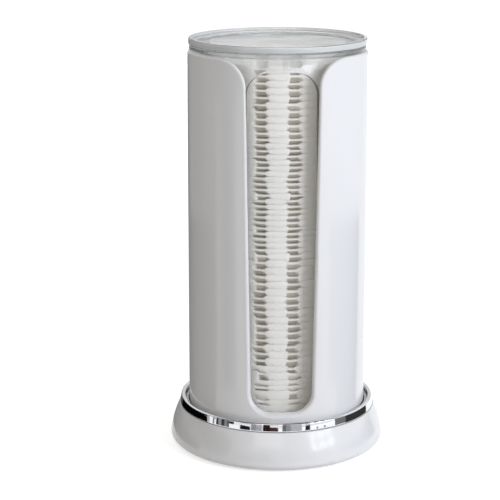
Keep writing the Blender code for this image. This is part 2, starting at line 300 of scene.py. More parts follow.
cottonLook = {
    "colour": "f6f4f0", "thinColour": "f2efe9", "pressedShadeColour": "c5c0b2",
    "fibreSize": 0.5, "fibreDepth": 0.12, "fibreStrength": 0.5, "cloudSize": 9,
    "fuzz": 0.3, "glow": 0.4, "glowDepth": 2.0,
}  # real fibres are 0.02 mm, drawn as tufts of 0.5 mm so that they show
cottonFleece = makeCotton(cottonLook)


def makeFoam(look):
    # Soft closed-cell foam: matt pale grey, pitted by its cells
    material, tree, output = newMaterial("closed-cell foam")
    where = addNode(tree, "ShaderNodeTexCoord").outputs["Object"]
    cells = addNode(tree, "ShaderNodeTexVoronoi", {"Scale": 1 / (look["cellSize"] * mm)}, {"Vector": where})
    bump = addNode(
        tree, "ShaderNodeBump", {"Strength": look["cellStrength"], "Distance": look["cellDepth"] * mm},
        {"Height": cells.outputs["Distance"]},
    )
    shader = addNode(
        tree,
        "ShaderNodeBsdfPrincipled",
        {"Base Color": toLinear(look["colour"]), "Roughness": 0.95, "IOR": 1.45},
        {"Normal": bump.outputs["Normal"]},
    )
    tree.links.new(shader.outputs["BSDF"], output.inputs["Surface"])
    return material


foamLook = {"colour": "d9d9d6", "cellSize": 0.45, "cellDepth": 0.15, "cellStrength": 0.6}
paleFoam = makeFoam(foamLook)
print("materials made")


# Tools that make meshes
def linkPiece(name, mesh, material, body, nodes):
    mesh.materials.append(material)
    piece = bpy.data.objects.new(name, mesh)
    scene.collection.objects.link(piece)
    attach(piece, body)
    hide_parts(*nodes)
    return piece


def flatFaces(piece):  # large faces keep their own normals, so that only the edges look round
    shading = piece.modifiers.new("flat faces", "WEIGHTED_NORMAL")
    shading.keep_sharp = True
    shading.weight = 100


def meshFrom(name, shape):  # a closed mesh in metres from a bmesh in millimetres
    bmesh.ops.remove_doubles(shape, verts=shape.verts, dist=weldDistance)
    bmesh.ops.recalc_face_normals(shape, faces=shape.faces)
    bmesh.ops.scale(shape, vec=(mm, mm, mm), verts=shape.verts)
    mesh = bpy.data.meshes.new(name)
    shape.to_mesh(mesh)
    shape.free()
    mesh.shade_smooth()
    mesh.set_sharp_from_angle(angle=sharpAngle)
    return mesh


def arc(centreX, centreZ, radius, start, end, steps):
    angles = [math.radians(start + (end - start) * step / steps) for step in range(steps + 1)]
    return [(centreX + radius * math.cos(a), centreZ + radius * math.sin(a)) for a in angles]


def filleted(corners, steps=5):  # (radius, height, fillet) corners to a smooth line of points
    line = []
    for index, (x, z, fillet) in enumerate(corners):
        here = Vector((x, z))
        if fillet == 0:
            line.append((x, z))
            continue
        before = Vector(corners[index - 1][:2]) - here
        after = Vector(corners[(index + 1) % len(corners)][:2]) - here
        half = before.angle(after) / 2
        back = min(fillet / math.tan(half), filletShare * before.length, filletShare * after.length)
        first, last = here + before.normalized() * back, here + after.normalized() * back
        centre = here + (before.normalized() + after.normalized()).normalized() * (back / math.cos(half))
        for step in range(steps + 1):
            ray = (first - centre).slerp(last - centre, step / steps)
            line.append(tuple(centre + ray.normalized() * (first - centre).length))
    return line


def spun(name, line, closed=False):  # turns a line of (radius, height) points round Z
    shape = bmesh.new()
    corners = [shape.verts.new((x, 0, z)) for x, z in line]
    edges = [shape.edges.new(pair) for pair in zip(corners, corners[1:])]
    if closed:
        edges.append(shape.edges.new((corners[-1], corners[0])))
    bmesh.ops.spin(
        shape, geom=corners + edges, cent=(0, 0, 0), axis=(0, 0, 1), angle=2 * math.pi, steps=turnSteps,
        use_merge=True,
    )
    return meshFrom(name, shape)


def halfRow(shape, front, backX, backZ, radius, steps):
    # Corners on the right half of a round wall: (x, z) points in front, then level to the back
    points = [(x, -math.sqrt(radius(z) ** 2 - x**2), z) for x, z in front]
    start = math.asin(backX / radius(backZ))
    for step in range(1, steps + 1):
        turn = start + (math.pi - start) * step / steps
        points.append((radius(backZ) * math.sin(turn), -radius(backZ) * math.cos(turn), backZ))
    return [shape.verts.new(point) for point in points]


def strip(shape, first, second):  # faces between two rows of corners
    for index in range(len(first) - 1):
        shape.faces.new((first[index], first[index + 1], second[index + 1], second[index]))


def mirrorHalf(shape):
    bmesh.ops.mirror(shape, geom=shape.verts[:] + shape.edges[:] + shape.faces[:], axis="X")


def edgeSteps(edgeRound, wall, steps, strips):
    # (growth of the opening, depth in the wall) across the rounded edge, with flat strips beside it
    turn = [math.pi / 2 * step / steps for step in range(steps + 1)]
    outside = [(edgeRound + beside, 0.0) for beside in strips]
    outside += [(edgeRound * (1 - math.sin(a)), edgeRound * (1 - math.cos(a))) for a in turn]
    return outside + [(grow, wall - depth) for grow, depth in reversed(outside)]


# Flared base
flaredBase = {
    "boss": (33.5, 18.0), "groove": (37.4, 4.0), "neck": (38.6, 18.0), "shoulder": (41.25, 16.1),
    "widest": (45.05, 3.4), "rimHeight": 0.5, "tuck": 4.0, "land": (31.1, 39.8, 1.6), "roof": 15.6,
    "fillet": 0.35, "neckFillet": 0.1, "shoulderFillet": 0.25, "landFillet": 0.1, "roofFillet": 1.0,
    "landDraft": 0.05, "bellHandles": (1.9, -0.456), "bellSteps": 24, "tuckSteps": 12,
}


def makeBase(look):
    boss, groove, neck = look["boss"], look["groove"], look["neck"]
    shoulder, widest = look["shoulder"], look["widest"]
    soft = look["fillet"]
    top, foot = Vector(shoulder), Vector(widest)
    drop = shoulder[1] - widest[1]
    # The bell's side is one Bezier curve, from the shoulder to the widest place
    topReach, footReach = look["bellHandles"]
    handles = [top, top + Vector((topReach, -drop / 3)), foot + Vector((footReach, drop / 3)), foot]
    side = []
    for step in range(1, look["bellSteps"] + 1):
        t = step / look["bellSteps"]
        weights = ((1 - t) ** 3, 3 * t * (1 - t) ** 2, 3 * t**2 * (1 - t), t**3)
        side.append((*sum((h * w for h, w in zip(handles, weights)), Vector((0, 0))), 0))
    tuckX, rise = widest[0] - look["tuck"], widest[1] - look["rimHeight"]
    under = [
        (tuckX + look["tuck"] * math.cos(a), widest[1] - rise * math.sin(a), 0)
        for a in (math.pi / 2 * step / look["tuckSteps"] for step in range(1, look["tuckSteps"] + 1))
    ]
    landInner, landOuter, landHeight = look["land"]
    corners = [
        (0, boss[1], 0), (*boss, soft), (boss[0], groove[1], soft), (*groove, soft),
        (groove[0], neck[1], soft), (*neck, soft), (neck[0], shoulder[1], look["neckFillet"]),
        (*shoulder, look["shoulderFillet"]), *side, *under,
        (landOuter + look["landDraft"], look["rimHeight"], 0),
        (landOuter, landHeight, look["landFillet"]), (landInner, landHeight, soft),
        (landInner, look["roof"], look["roofFillet"]), (0, look["roof"], 0),
    ]
    mesh = spun("flaredBase", filleted(corners))
    flatFaces(linkPiece("flaredBase", mesh, whiteAbs, "stand", ["base"]))


makeBase(flaredBase)

# Chromed ring
trimRing = {
    "inner": 38.9, "outer": 41.0, "foot": 16.4, "lipRadius": 0.6, "lip": (39.92, 19.2),
    "lipSteps": 14, "fillet": 0.15, "bulge": 0.05, "bulgeSteps": 8, "innerRise": 0.7,
}


def makeRing(look):
    lipX, lipZ = look["lip"]
    lip = [(x, z, 0) for x, z in arc(lipX, lipZ, look["lipRadius"], 90, 0, look["lipSteps"])]
    steps = look["bulgeSteps"]
    reach = Vector((lipX + look["lipRadius"], lipZ)) - Vector((look["outer"], look["foot"]))
    for step in range(steps - 1, 0, -1):  # down the band, which stands proud at its middle
        share = step / steps
        bow = 4 * look["bulge"] * share * (1 - share)
        lip.append((look["outer"] + reach.x * share + bow, look["foot"] + reach.y * share, 0))
    corners = [
        (look["outer"], look["foot"], look["fillet"]), (look["inner"], look["foot"], look["fillet"]),
        (look["inner"], lipZ + look["lipRadius"] * look["innerRise"], look["fillet"]), *lip,
    ]
    mesh = spun("chromedRing", filleted(corners), closed=True)
    flatFaces(linkPiece("chromedRing", mesh, chromePlate, "stand", ["trim_ring"]))


makeRing(trimRing)

# Foam ring under the base
footRing = {"inner": 31.7, "outer": 39.2, "height": 1.3, "fillet": 0.3, "fill": 0.9}


def makeFoot(look):
    inner, outer, height, soft = (look[k] for k in ("inner", "outer", "height", "fillet"))
    corners = [(outer, height, soft), (outer, 0, soft), (inner, 0, soft), (inner, height, soft)]
    piece = linkPiece(
        "foamFootRing", spun("foamFootRing", filleted(corners), closed=True), paleFoam, "stand",
        ["foot_ring"],
    )


makeFoot(footRing)
print("base, ring and foot made")

# White tube
whiteTube = {
    "footRadius": 37.1, "draft": 0.3, "wall": 3.0, "foot": 4.3, "rim": 166.13,
    "slotHalf": (13.05, 14.55), "sill": 22.05, "sillCorner": 8.45, "flare": 11.05,
    "slotTaper": (0.33, 0.08), "edgeRound": 1.15, "strips": (2.0, 0.4),
    "arcSteps": 18, "sideSteps": 6, "roundSteps": 7, "backSteps": 96,
}


def makeTube(look):
    lowHalf, highHalf = look["slotHalf"]
    lowTaper, highTaper = look["slotTaper"]
    flareEnd = highHalf + look["flare"]
    steps, backSteps = look["arcSteps"], look["backSteps"]
    sideFoot, sideHead = look["sill"] + look["sillCorner"], look["rim"] - look["flare"]

    def radiusAt(depth):
        slope = look["draft"] / (look["rim"] - look["foot"])
        return lambda z: look["footRadius"] - slope * (z - look["foot"]) - depth

    def slotEdge(grow, depth):  # from the middle of the sill, up the side and out along the flare
        # The slot narrows downwards, and the cut narrows inwards, so that its faces show
        growLow, growHigh = grow - lowTaper * depth, grow - highTaper * depth
        edge = [(0.0, look["sill"] - growLow)]
        edge += arc(lowHalf - look["sillCorner"], sideFoot, look["sillCorner"] + growLow, -90, 0, steps)
        for step in range(1, look["sideSteps"]):
            share = step / look["sideSteps"]
            side = (lowHalf + growLow) * (1 - share) + (highHalf + growHigh) * share
            edge.append((side, sideFoot + (sideHead - sideFoot) * share))
        for step in range(steps + 1):
            turn = math.radians(180 - 90 * step / steps)
            flare = look["flare"] - grow + highTaper * depth * (1 - step / steps)
            edge.append((flareEnd + flare * math.cos(turn), sideHead + flare * math.sin(turn)))
        return edge

    shape = bmesh.new()
    levels = edgeSteps(look["edgeRound"], look["wall"], look["roundSteps"], look["strips"])
    rows = [
        halfRow(shape, slotEdge(grow, depth), flareEnd, look["rim"] - grow, radiusAt(depth), backSteps)
        for grow, depth in levels
    ]
    for first, second in zip(rows, rows[1:]):
        strip(shape, first, second)

    def skin(edge, depth):  # closes one face of the wall down to the foot
        below = [(x, look["foot"]) for x, z in slotEdge(levels[0][0], 0.0)]
        foot = halfRow(shape, below, flareEnd, look["foot"], radiusAt(depth), backSteps)
        strip(shape, edge, foot)
        return foot

    strip(shape, skin(rows[0], 0.0), skin(rows[-1], look["wall"]))
    mirrorHalf(shape)
    mesh = meshFrom("whiteTube", shape)
    flatFaces(linkPiece("whiteTube", mesh, whiteAbs, "stand", ["outer_shell"]))


makeTube(whiteTube)

# Clear sleeve
clearSleeve = {
    "inner": 30.2, "outer": 32.0, "floor": 18.3, "wall": 1.8, "flangeRadius": 36.0,
    "flange": (166.43, 168.23), "windowHalf": (15.2, 14.45), "window": (20.35, 161.13),
    "windowCorner": (7.6, 9.8), "windowTaper": (0.1, 0.5), "strips": (1.2, 0.3),
    "edgeRound": 0.6, "flangeRound": 0.6, "underRound": 0.6, "boreRound": 0.8,
    "arcSteps": 18, "roundSteps": 4, "backSteps": 96, "cornerSteps": 4, "flangeSteps": 6,
}


def makeSleeve(look):
    low, high = look["window"]
    flangeUnder, flangeTop = look["flange"]
    edgeRound, steps = look["edgeRound"], look["arcSteps"]
    lowHalf, highHalf = look["windowHalf"]
    lowCorner, highCorner = look["windowCorner"]
    lowTaper, highTaper = look["windowTaper"]

    def windowEdge(grow, depth=0.0):  # from the middle of the sill up the side to the head
        # The cut narrows inwards towards the head, so that its faces show there
        growLow, growHigh = grow - lowTaper * depth, grow - highTaper * depth
        edge = [(0.0, low - growLow)]
        edge += arc(lowHalf - lowCorner, low + lowCorner, lowCorner + growLow, -90, 0, steps)
        edge += arc(highHalf - highCorner, high - highCorner, highCorner + growHigh, 0, 90, steps)
        return edge + [(0.0, high + growHigh)]

    shape = bmesh.new()
    levels = edgeSteps(edgeRound, look["wall"], look["roundSteps"], look["strips"])
    grown = look["strips"][0] + edgeRound
    columns = [x for x, z in windowEdge(grown)[: steps + 2]]

    def ring(radius, height):
        front = [(x, height) for x in columns]
        return halfRow(shape, front, columns[-1], height, lambda z: radius, look["backSteps"])

    windows = []
    for grow, depth in levels:
        radius = look["outer"] - depth
        edge = windowEdge(grow, depth)
        windows.append([shape.verts.new((x, -math.sqrt(radius**2 - x**2), z)) for x, z in edge])
    for first, second in zip(windows, windows[1:]):
        strip(shape, first, second)

    def rings(line):
        made = [ring(*point) for point in line]
        for first, second in zip(made, made[1:]):
            strip(shape, first, second)
        return made

    def skin(under, over, window):  # one face of the wall, between two rings and round the window
        side, above = len(columns) - 1, window[::-1]
        strip(shape, under[: side + 1], window[: side + 1])
        strip(shape, above[: side + 1], over[: side + 1])
        shape.faces.new(
            (under[side], under[side + 1], over[side + 1], over[side], above[side], window[side]),
        )
        strip(shape, under[side + 1 :], over[side + 1 :])

    outer, inner, top = look["outer"], look["inner"], look["flangeRadius"]
    underRound, corner, lipSteps = look["underRound"], look["cornerSteps"], look["flangeSteps"]
    toes = rings(arc(outer - edgeRound, look["floor"] + edgeRound, edgeRound, -90, 0, corner))
    rim = [(outer, flangeUnder - underRound)]
    rim += arc(outer + underRound, flangeUnder - underRound, underRound, 180, 90, corner)
    lipRound = look["flangeRound"]
    rim += arc(top - lipRound, flangeUnder + lipRound, lipRound, -90, 0, lipSteps)
    rim += arc(top - lipRound, flangeTop - lipRound, lipRound, 0, 90, lipSteps)
    rim += arc(inner + edgeRound, flangeTop - edgeRound, edgeRound, 90, 180, corner)
    flange = rings(rim)
    boreRound, boreFoot = look["boreRound"], look["floor"] + look["wall"]
    bore = rings(arc(inner - boreRound, boreFoot + boreRound, boreRound, -90, 0, corner))
    skin(toes[-1], flange[0], windows[0])
    skin(bore[-1], flange[-1], windows[-1])
    shape.faces.new(toes[0])
    shape.faces.new(bore[0])
    mirrorHalf(shape)
    mesh = meshFrom("clearSleeve", shape)
    flatFaces(linkPiece("clearSleeve", mesh, milkyStyrene, "sleeve", ["inner_sleeve"]))


makeSleeve(clearSleeve)

# Clear lid
clearLid = {
    "radius": 36.3, "seat": 168.53, "top": 171.13, "rim": (34.7, 34.9, 170.3),
    "dish": (30.3, 169.53), "dishStep": 0.25, "stepWidth": 0.1, "under": 168.03,
    "plug": (28.5, 29.9, 165.13), "edgeRound": 0.5, "lowRound": 0.5, "dishRound": 0.08,
    "slopeRound": 0.12, "rimRound": 0.2, "neckRound": 0.3, "plugRound": 0.35, "plateRound": 0.6,
    "satinSlope": 0.5,
}


def makeLid(look):
    plugInner, plugOuter, plugFoot = look["plug"]
    dishRadius, dishFloor = look["dish"]
    rimFoot, rimHead, rimLow = look["rim"]
    soft = look["edgeRound"]
    dishRound, plugRound = look["dishRound"], look["plugRound"]
    corners = [
        (0, dishFloor, 0), (dishRadius, dishFloor, dishRound),
        (dishRadius + look["stepWidth"], dishFloor + look["dishStep"], dishRound),
        (rimFoot, rimLow, look["slopeRound"]), (rimHead, look["top"], look["rimRound"]),
        (look["radius"], look["top"], soft), (look["radius"], look["seat"], look["lowRound"]),
        (plugOuter, look["seat"], look["neckRound"]), (plugOuter, plugFoot, plugRound),
        (plugInner, plugFoot, plugRound), (plugInner, look["under"], look["plateRound"]),
        (0, look["under"], 0),
    ]
    mesh = spun("clearLid", filleted(corners))
    lid = linkPiece("clearLid", mesh, clearStyrene, "lid", ["lid"])
    marks = mesh.attributes.new("satin", "FLOAT", "FACE")
    for face, mark in zip(mesh.polygons, marks.data):
        upright = abs(face.normal.z) < look["satinSlope"]
        mark.value = upright and face.center.xy.length > (look["radius"] - soft) * mm
    flatFaces(lid)


makeLid(clearLid)
print("tube, sleeve and lid made")

# Cotton rounds
cottonRounds = {
    "count": 54, "radius": 28.5, "radiusLoss": 0.16, "fill": 0.5, "seed": 7,
    "channelTurn": -3.5, "channelSpacing": 13.3, "channelWidth": 4.9, "channelSoftness": 0.5,
    "turnSpread": 0.7, "shiftSpread": 0.22, "widthSpread": 0.05, "depthSpread": 0.08, "deepest": 1.25,
    "web": 0.78, "notchDepth": 2.6, "seam": 0.001, "rimRound": 0.004, "mouthRound": 0.12,
    "mouthReach": 1.1, "belly": 0.05, "faceInset": 0.3, "sharpAngle": 60,
    # How much painted shade each ring of a channel's rim gets, from the top face down
    "pressedShadeShares": (0, 0, 0.2, 1, 1, 1),
    "wave": 0.05, "waveCount": 4, "waveShare": 0.6, "waveTurn": 0.09,
    "lobes": (2, 3, 5, 8, 13), "lobeHeight": 0.05, "lobeTurn": 6.3,
    # The lowest rounds are crushed, and a few seams stand open
    "crushed": 7, "crushedWave": 0.42, "crushedDepth": 0.6, "crushedSpread": 3.5,
    "openSeams": {53: 0.05, 48: 0.14, 27: 0.22, 22: 0.32, 19: 0.3},
    # The gap between two solids, and how far the stack's ends reach past the first and the last
    "gap": 0.3, "lowReach": 0.1, "highReach": 0.15,
    "gridStops": (0, 2.6, 4.6, 8.7, 10.7, 20.15), "gridCounts": (4, 8, 5, 8, 9), "gridDeep": 13,
    "gridShown": 91,
}


def smoothStep(value):
    value = np.clip(value, 0, 1)
    return value * value * (3 - 2 * value)


class Seam:  # the surface between a round and the one above it
    def __init__(self, look, random, level, dip, wave, crushed, usual, opening):
        spread = look["crushedSpread"] if crushed else 1.0
        self.level, self.dip, self.opening = level, dip, opening
        self.turn = math.radians(random.normal(look["channelTurn"], look["turnSpread"] * spread))
        self.shift = random.normal(0, look["shiftSpread"] * spread)
        self.widths = look["channelWidth"] * (1 + random.normal(0, look["widthSpread"] * spread, 2))
        self.depths = np.clip(usual + random.normal(0, look["depthSpread"] * spread, 2), 0, look["deepest"])
        self.spacing, self.softness = look["channelSpacing"], look["channelSoftness"]
        self.mouthReach = look["mouthReach"]
        self.waves = [
            (
                wave * random.normal(0, look["waveShare"]), *(random.normal(0, look["waveTurn"], 2)),
                random.uniform(0, 2 * math.pi),
            )
            for _ in range(look["waveCount"])
        ]

    def channel(self, x, y):  # 1 in the two pressed channels, 0 outside them
        across = x * math.cos(self.turn) + y * math.sin(self.turn) - self.shift
        found = np.zeros_like(x)
        for side, width, depth in zip((-1, 1), self.widths, self.depths):
            beside = np.abs(across - side * self.spacing / 2) - width / 2
            found = np.maximum(found, depth * smoothStep(0.5 - beside / (2 * self.softness)))
        return found

    def nearChannel(self, x, y):  # 1 at the ends of a channel, fading over a millimetre or two
        across = x * math.cos(self.turn) + y * math.sin(self.turn) - self.shift
        left = np.abs(across + self.spacing / 2) - self.widths[0] / 2
        right = np.abs(across - self.spacing / 2) - self.widths[1] / 2
        return np.exp(-((np.clip(np.minimum(left, right), 0, None) / self.mouthReach) ** 2))

    def height(self, x, y):
        swell = sum(a * np.sin(kx * x + ky * y + phase) for a, kx, ky, phase in self.waves)
        return self.level + swell - self.dip * self.channel(x, y)


def discGrid(across, along):
    # A square grid pressed into a disc of radius 1, its faces, and its outline in order
    u, v = np.meshgrid(across, along, indexing="ij")
    points = np.stack([u * np.sqrt(1 - v**2 / 2), v * np.sqrt(1 - u**2 / 2)], -1).reshape(-1, 2)
    wide, deep = len(across), len(along)
    number = np.arange(wide * deep).reshape(wide, deep)
    corners = [number[:-1, :-1], number[1:, :-1], number[1:, 1:], number[:-1, 1:]]
    faces = np.stack(corners, -1).reshape(-1, 4)
    outline = np.concatenate([number[:-1, 0], number[-1, :-1], number[:0:-1, -1], number[0, :0:-1]])
    return points, faces, outline


def roundMesh(name, look, random, under, over, grid):
    unit, gridFaces, outline = grid
    count, edge = len(unit), len(outline)
    angle = np.arctan2(unit[outline, 1], unit[outline, 0])
    lobes = sum(
        random.normal(0, look["lobeHeight"]) * np.sin(k * angle + random.uniform(0, look["lobeTurn"]))
        for k in look["lobes"]
    )
    radius = look["radius"] - random.uniform(0, look["radiusLoss"]) + lobes
    outward = unit[outline]
    rimX, rimY = (outward * radius[:, None]).T
    channel = np.clip(over.channel(rimX, rimY), 0, 1)
    top = over.height(rimX, rimY) - look["seam"]
    bottom = under.height(rimX, rimY) + look["seam"]
    topRound, bottomRound = (
        look["rimRound"] + seam.opening + look["mouthRound"] * seam.nearChannel(rimX, rimY) * (1 - channel)
        for seam in (over, under)
    )
    web = look["web"] * np.ones(edge)
    corner = 0.29  # how far a rounded edge's middle lies from its corner, as a share of its radius
    # The rim's profile from the top face down, as (how far in, height): plain, and at a channel
    plain = [
        (topRound, top), (topRound * corner, top - topRound * corner), (0 * top, top - topRound),
        (-look["belly"] + 0 * top, (top + bottom) / 2), (0 * top, bottom + bottomRound * 1.2),
        (bottomRound * 0.5, bottom + bottomRound * 0.5),
        (bottomRound * corner * 2, bottom + bottomRound * corner), (bottomRound * 1.1, bottom),
    ]
    notch = look["notchDepth"] + 0 * top
    pressed = [
        (0.3 + 0 * top, top), (0.09 + 0 * top, top - 0.09), (0 * top, top - 0.3),
        (0 * top, top - web * 0.75), (0.22 + 0 * top, top - web),
        (notch * 0.55, (top - web) * 0.55 + bottom * 0.45),
        (notch * 0.9, top * 0.08 + bottom * 0.92), (notch + 0.4, bottom),
    ]
    rings = []
    for (plainIn, plainZ), (pressedIn, pressedZ) in zip(plain, pressed):
        inset = plainIn * (1 - channel) + pressedIn * channel
        height = plainZ * (1 - channel) + pressedZ * channel
        rings.append(np.column_stack([outward * (radius - inset)[:, None], height]))

    def face(inset, surface, lift):
        size = np.full(count, radius.mean() - look["faceInset"])
        size[outline] = radius - inset
        flat = unit * size[:, None]
        return np.column_stack([flat, surface.height(flat[:, 0], flat[:, 1]) + lift])

    topFace = face(plain[0][0] * (1 - channel) + pressed[0][0] * channel, over, -look["seam"])
    bottomFace = face(plain[-1][0] * (1 - channel) + pressed[-1][0] * channel, under, look["seam"])
    points = np.concatenate([topFace, bottomFace, *rings[1:-1]])
    middle = [np.arange(edge) + 2 * count + edge * i for i in range(len(rings) - 2)]
    loops = [outline, *middle, outline + count]
    faces = [gridFaces, gridFaces[:, ::-1] + count]
    for first, second in zip(loops, loops[1:]):
        faces.append(np.stack([first, second, np.roll(second, -1), np.roll(first, -1)], -1))
    mesh = bpy.data.meshes.new(name)
    mesh.from_pydata((points * mm).tolist(), [], np.concatenate(faces).tolist())
    # Marks the channels' hollows, deepest in the notch, where the cotton's colour is painted darker as
    # shade
    marks = mesh.attributes.new("pressed", "FLOAT", "POINT")
    shares = [np.zeros(2 * count)] + [channel * share for share in look["pressedShadeShares"]]
    marks.data.foreach_set("value", np.concatenate(shares))
    mesh.shade_smooth()
    mesh.set_sharp_from_angle(angle=math.radians(look["sharpAngle"]))
    return mesh


def makeRounds(look):
    random = np.random.default_rng(look["seed"])
    boxes = [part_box(f"cotton_pad_{n:02d}") for n in range(1, look["count"] + 1)]
    lows = [low.z / mm for low, high in boxes]
    highs = [high.z / mm for low, high in boxes]
    pitches = [high - low + look["gap"] for low, high in zip(lows, highs)]
    seams = []
    for n in range(look["count"] + 1):
        crushed = n <= look["crushed"]
        if n == 0:
            level, dip, wave = lows[0] - look["lowReach"], 0.0, 0.0
        else:
            last = highs[-1] + look["highReach"]
            level = (highs[n - 1] + lows[n]) / 2 if n < look["count"] else last
            dip = pitches[n - 1] / 2 - look["web"] / 2
            wave = look["crushedWave"] if crushed else look["wave"]
        opening = look["openSeams"].get(n, 0.0)
        usual = 1.0 if not crushed else look["crushedDepth"] if n > 1 else 0.0
        seams.append(Seam(look, random, level, dip, wave, crushed, usual, opening))
    # The hidden faces' grid is closer where a channel's sides are, and the shown top's is even
    stops = look["gridStops"]
    pieces = [np.linspace(*ends, count)[:-1] for *ends, count in zip(stops, stops[1:], look["gridCounts"])]
    fine = np.concatenate([*pieces, stops[-1:]])
    fine = fine / fine[-1]
    across = np.concatenate([-fine[:0:-1], fine])
    hidden = discGrid(across, np.sin(np.linspace(-math.pi / 2, math.pi / 2, look["gridDeep"])))
    even = np.linspace(-1, 1, look["gridShown"])
    shown = discGrid(even, even)
    for n in range(1, look["count"] + 1):
        name = f"cottonRound{n:02d}"
        grid = shown if n == look["count"] else hidden
        mesh = roundMesh(name, look, random, seams[n - 1], seams[n], grid)
        piece = linkPiece(name, mesh, cottonFleece, "stack", [f"cotton_pad_{n:02d}"])
        flatFaces(piece)


makeRounds(cottonRounds)
print("cotton rounds made")


# Floor, studio flags and light
floorLook = {
    "size": 6000, "colour": "d4d4d4", "diffuseShare": 1.15, "glow": 0.64, "farGlow": 0.76,
    "fade": (350, 1300),
}


def seenWhite(tree):
    # 1 where the camera sees it, also in gloss and through glass, and 0 where it lights a matt
    # face, also through glass
    ray = addNode(tree, "ShaderNodeLightPath")
    seen = addNode(
        tree, "ShaderNodeMath", {"operation": "MAXIMUM"},
        {0: ray.outputs["Is Camera Ray"], 1: ray.outputs["Is Glossy Ray"]},
    )
    seen = addNode(
        tree, "ShaderNodeMath", {"operation": "MAXIMUM"},
        {0: seen.outputs[0], 1: ray.outputs["Is Transmission Ray"]},
    )
    direct = addNode(
        tree, "ShaderNodeMath", {"operation": "LESS_THAN", 1: 0.5}, {0: ray.outputs["Diffuse Depth"]},
    )
    return addNode(
        tree, "ShaderNodeMath", {"operation": "MULTIPLY"}, {0: seen.outputs[0], 1: direct.outputs[0]},
    ).outputs[0]


def makeFloor(look):
    material, tree, output = newMaterial("white studio sweep")
    paint = addNode(tree, "ShaderNodeBsdfDiffuse", {"Color": toLinear(look["colour"])})
    shade = addNode(
        tree, "ShaderNodeBsdfDiffuse",
        {"Color": tuple(c * look["diffuseShare"] for c in toLinear(look["colour"]))},
    )
    # The lamps reach less of the far floor, so it glows more there and meets the white room
    where = addNode(tree, "ShaderNodeTexCoord").outputs["Object"]
    away = addNode(tree, "ShaderNodeVectorMath", {"operation": "LENGTH"}, {0: where})
    strength = addNode(
        tree,
        "ShaderNodeMapRange",
        {
            "From Min": look["fade"][0] * mm, "From Max": look["fade"][1] * mm, "To Min": look["glow"],
            "To Max": look["farGlow"],
        },
        {"Value": away.outputs["Value"]},
    )
    glow = addNode(tree, "ShaderNodeEmission", None, {"Strength": strength.outputs["Result"]})
    both = addNode(tree, "ShaderNodeAddShader", None, {0: shade.outputs[0], 1: glow.outputs[0]})
    mix = addNode(
        tree, "ShaderNodeMixShader", None, {0: seenWhite(tree), 1: paint.outputs[0], 2: both.outputs[0]},
    )
    tree.links.new(mix.outputs[0], output.inputs["Surface"])
    shape = bmesh.new()
    bmesh.ops.create_grid(shape, x_segments=1, y_segments=1, size=look["size"] * mm / 2)
    mesh = bpy.data.meshes.new("floor")
    shape.to_mesh(mesh)
    shape.free()
    mesh.materials.append(material)
    floor = bpy.data.objects.new("floor", mesh)
    scene.collection.objects.link(floor)


makeFloor(floorLook)

# Flags are a studio's dark and grey cards, which only gloss and glass see. They lie where the
# upright faces mirror the floor, and stand up at their far end. They were set about one
# for each dark or grey block that the ring shows in the photograph. Each row is the azimuths of
# the face that shows it, from the camera's own, the colour, the near and far reach, and the
# height that it stands up to
flagLooks = {
    "radius": 41, "steps": 12, "lying": 0.6,
    "cards": [
        (-90, -76, "585858", 30, 860, 150), (-76, -43.7, "060606", 30, 430, 0),
        (-76, -55, "8c8c8c", 430, 860, 150), (-55, -43.7, "b4b4b4", 430, 860, 150),
        (-43.7, -41.5, "c4c4c4", 90, 860, 60), (-39.4, -38.2, "8a8a8a", 90, 860, 150),
        (-36.9, -35.4, "303030", 90, 860, 150), (-35.4, -33.2, "9c9c9c", 90, 860, 70),
        (-33.2, -31.2, "3c3c3c", 90, 860, 20), (-31.2, -29.4, "8c8c8c", 90, 860, 150),
        (-29.4, -27.9, "5c5c5c", 90, 860, 50), (-21, -15, "1c1c1c", 110, 860, 35),
        (-14.6, -11.5, "9a9a9c", 110, 860, 150), (-11.5, -8, "b2b2b4", 110, 860, 90),
        (-7.4, -3.5, "2e2022", 110, 860, 150), (-3.5, 1.1, "4a3436", 110, 860, 50),
        (3.6, 5.6, "707072", 110, 860, 150), (5.6, 8.4, "9a9a9c", 110, 860, 150),
        (8.4, 14.7, "c0c0c2", 110, 860, 150), (16.7, 19.7, "202024", 110, 860, 60),
        (23.5, 24.6, "a0a0a0", 110, 300, 0), (28.4, 29.6, "b0b0b0", 110, 300, 0),
        (35.8, 43.9, "7c7c7c", 90, 330, 26), (43.9, 66, "3a3a38", 45, 330, 26),
    ],
    "panes": {
        "azimuth": 48, "distance": 1300, "low": 190, "size": (640, 400), "count": (3, 2), "bar": 70,
        "glow": 6.5, "colour": "f4f8ff",
    },
    "left": {
        "azimuths": (-150, -52), "distance": 1000, "low": 5, "high": 330, "colour": "282828",
        "inGloss": True,
    },
    "right": {
        "azimuths": (60, 150), "distance": 1000, "low": 5, "high": 900, "colour": "202020",
        "inGloss": False,
    },
    "ceiling": {"height": 1000, "across": (-1500, 1500), "along": (-1500, 200), "colour": "404040"},
    "back": {"distance": 900, "low": 200, "high": 420, "half": 700, "colour": "dedede"},
}


def flagMaterial(colour, glow=1.0):
    material, tree, output = newMaterial("flag " + colour)
    paint = addNode(tree, "ShaderNodeEmission", {"Color": toLinear(colour), "Strength": glow})
    nothing = addNode(tree, "ShaderNodeBsdfTransparent")
    ray = addNode(tree, "ShaderNodeLightPath")
    direct = addNode(
        tree, "ShaderNodeMath", {"operation": "LESS_THAN", 1: 0.5}, {0: ray.outputs["Diffuse Depth"]},
    )
    mix = addNode(
        tree, "ShaderNodeMixShader", None,
        {0: direct.outputs[0], 1: nothing.outputs[0], 2: paint.outputs[0]},
    )
    tree.links.new(mix.outputs[0], output.inputs["Surface"])
    return material


